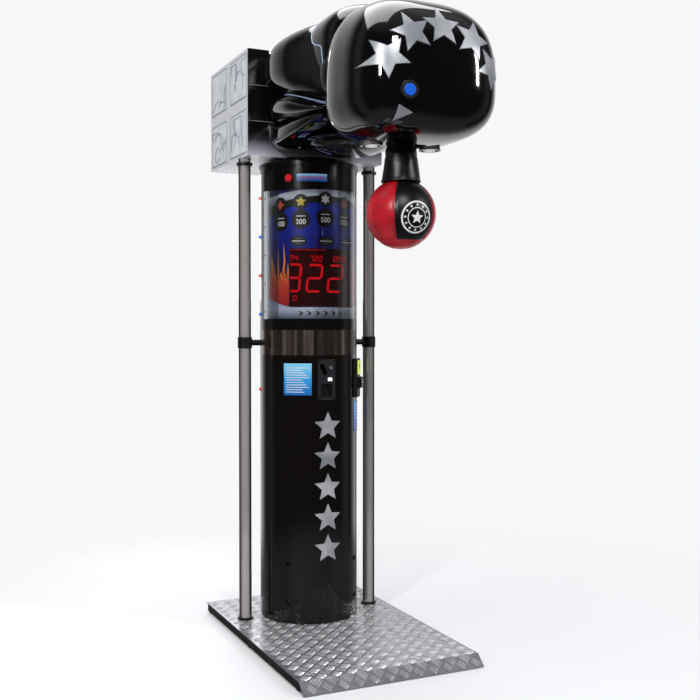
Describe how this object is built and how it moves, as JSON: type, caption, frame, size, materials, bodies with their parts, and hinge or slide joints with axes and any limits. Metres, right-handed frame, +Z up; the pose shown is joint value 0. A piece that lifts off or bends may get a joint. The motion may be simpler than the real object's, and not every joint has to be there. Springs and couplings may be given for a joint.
{
  "type": "boxing punch machine",
  "caption": "Free-standing arcade punch machine: a display column with a head shaped like a boxing glove, a swinging leather ball and a tread plate to stand on.",
  "frame": {"origin": "on the floor, under the centre of the overall box", "axes": "+Z up, -Y towards the player, +X to the player's right"},
  "size_m": [0.7, 1.518, 2.343],
  "materials": {
    "bare_aluminium": "bright rolled tread",
    "black_paint_satin": "satin black powder coat",
    "black_rubber": "moulded",
    "grey_steel": "grey primer",
    "black_gloss_paint": "high gloss",
    "mirror_steel": "polished stainless",
    "blue_print": "printed vinyl",
    "red_window": "smoked red",
    "clear_cover": "clear polycarbonate",
    "clear_strips": "pale edge strip",
    "lamp_lens": "translucent lens",
    "green_board": "coated board",
    "digit_block": "lamp block",
    "red_button": "lit cap",
    "blue_button": "lit cap",
    "dark_plate": "satin dark grey",
    "silver_trim": "brushed",
    "black_plastic": "moulded",
    "lit_window": "lit window",
    "alloy_case": "plain",
    "chrome_tube": "polished",
    "white_paint": "pale silver satin",
    "white_print": "printed panel",
    "black_fibreglass": "gloss moulded glass fibre",
    "lamp_glass": "lamp glass",
    "bearing_steel": "ground",
    "red_leather": "smooth grain",
    "black_leather": "soft grain",
    "foam_core": "foam"
  },
  "bodies": {
    "machine": {"artwork_panel": "blue_print", "base_frame": "black_paint_satin", "bill_acceptor": "black_plastic", "black_bands": "black_gloss_paint", "board_carriers": "grey_steel", "button_bezels": "black_plastic", "button_switches": "black_plastic", "cash_box": "grey_steel", "circuit_boards": "green_board", "coin_plate": "dark_plate", "column_cap": "black_gloss_paint", "column_core": "grey_steel", "column_foot": "grey_steel", "column_shell": "black_gloss_paint", "cover_strips": "clear_strips", "digit_modules": "digit_block", "display_back_skin": "black_gloss_paint", "display_cover": "clear_cover", "display_window": "red_window", "door_hinges": "black_paint_satin", "fasteners": "silver_trim", "fist_shell": "black_fibreglass", "glove_neck": "black_fibreglass", "hand_shell": "black_fibreglass", "head_box": "white_paint", "head_frame": "grey_steel", "head_front_plate": "black_gloss_paint", "head_rear_cover": "white_paint", "information_plates": "blue_print", "levelling_feet": "black_rubber", "mirror_band": "mirror_steel", "payment_units": "black_plastic", "pivot_bearings": "bearing_steel", "pivot_bracket": "grey_steel", "power_inlet": "black_plastic", "power_supply": "alloy_case", "side_lamps": "lamp_lens", "side_panels": "white_print", "side_tubes": "chrome_tube", "silver_stars": "silver_trim", "spotlight_lamps": "lamp_glass", "spotlight_rings": "chrome_tube", "swing_sensor": "black_plastic", "swing_stops": "black_rubber", "thumb_shell": "black_fibreglass", "tread_plate": "bare_aluminium", "tube_fittings": "black_paint_satin", "unit_lights": "lit_window"},
    "ball_arm": {"swing_arm": "black_paint_satin", "pivot_shaft": "bearing_steel", "ball_leather": "red_leather", "ball_core": "foam_core", "ball_sleeve": "black_leather", "encoder_disc": "alloy_case"},
    "start_button": {"start_button": "blue_button"},
    "select_button": {"select_button": "red_button"},
    "reject_button": {"reject_button": "silver_trim"},
    "return_flap": {"return_flap": "dark_plate"},
    "service_door": {"service_door": "black_gloss_paint"},
    "door_lock": {"door_lock": "silver_trim"}
  },
  "joints": [
    {"name": "ball_swing", "type": "hinge", "parent": "machine", "child": "ball_arm", "pos_m": [0, -0.456, 1.935], "axis": [1, 0, 0], "range_deg": [-10, 45]},
    {"name": "start_press", "type": "slide", "parent": "machine", "child": "start_button", "axis": [0.2472, 0.969, 0], "range_m": [0, 0.004], "stiffness_N_per_m": 400, "springref_m": -0.001},
    {"name": "select_press", "type": "slide", "parent": "machine", "child": "select_button", "axis": [0.7071, 0.7071, 0], "range_m": [0, 0.004], "stiffness_N_per_m": 400, "springref_m": -0.001},
    {"name": "reject_press", "type": "slide", "parent": "machine", "child": "reject_button", "axis": [0.0349, 0.9994, 0], "range_m": [0, 0.003], "stiffness_N_per_m": 250, "springref_m": -0.001},
    {"name": "flap_swing", "type": "hinge", "parent": "machine", "child": "return_flap", "pos_m": [-0.00691, 0.16412, 0.9905], "axis": [0.9994, -0.0349, 0], "range_deg": [0, 60]},
    {"name": "door_swing", "type": "hinge", "parent": "machine", "child": "service_door", "pos_m": [0.12167, 0.52946, 0.71], "axis": [0, 0, -1], "range_deg": [0, 105]},
    {"name": "lock_turn", "type": "hinge", "parent": "service_door", "child": "door_lock", "pos_m": [-0.08767, 0.54176, 0.71], "axis": [0.4384, -0.8988, 0], "range_deg": [0, 90]}
  ]
}
